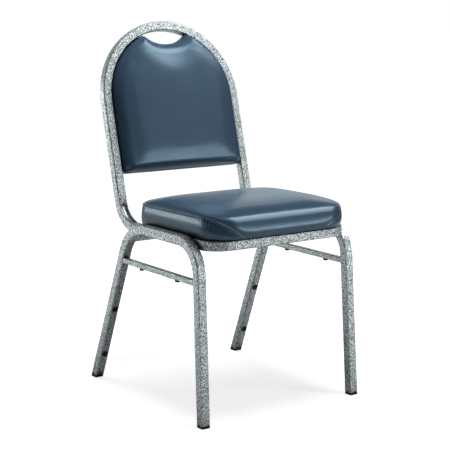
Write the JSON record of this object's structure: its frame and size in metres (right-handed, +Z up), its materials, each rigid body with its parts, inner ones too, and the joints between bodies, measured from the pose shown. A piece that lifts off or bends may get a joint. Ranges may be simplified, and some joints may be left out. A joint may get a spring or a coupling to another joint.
{
  "type": "stacking chair",
  "caption": "Armless stacking chair with a square-tube frame, a dome-shaped hoop back with a scooped pad and hand hole, and a padded vinyl seat.",
  "frame": {"origin": "on the floor, under the middle of the chair's bounding box", "axes": "+Z up, front of the chair towards -Y, +X to the right in a view from the front"},
  "size_m": [0.4444, 0.5331, 0.8682],
  "materials": {
    "frame_paint": "silver vein powder coat, fine dark speckle, semi-gloss",
    "vinyl": "slate blue vinyl, fine grain, glossy",
    "foam": "cut polyurethane foam, matte",
    "plywood": "raw plywood",
    "dust_cloth": "black non-woven cloth",
    "zinc_screw": "zinc plated",
    "glide_plastic": "black moulded plastic",
    "black_rubber": "black rubber"
  },
  "bodies": {
    "root": {"back_board": "plywood", "back_foam": "foam", "back_front_cover": "vinyl", "back_hoop": "frame_paint", "back_rear_panel": "vinyl", "back_screws": "zinc_screw", "back_tabs": "frame_paint", "left_front_glide": "glide_plastic", "left_leg_frame": "frame_paint", "left_rear_glide": "glide_plastic", "left_side_stretcher": "frame_paint", "leg_buttons": "black_rubber", "rear_cross_rail": "frame_paint", "right_front_glide": "glide_plastic", "right_leg_frame": "frame_paint", "right_rear_glide": "glide_plastic", "right_side_stretcher": "frame_paint", "seat_board": "plywood", "seat_boxing": "vinyl", "seat_dust_cover": "dust_cloth", "seat_foam": "foam", "seat_front_rail": "frame_paint", "seat_screws": "zinc_screw", "seat_top_panel": "vinyl", "stack_bumpers": "black_rubber"}
  },
  "joints": []
}
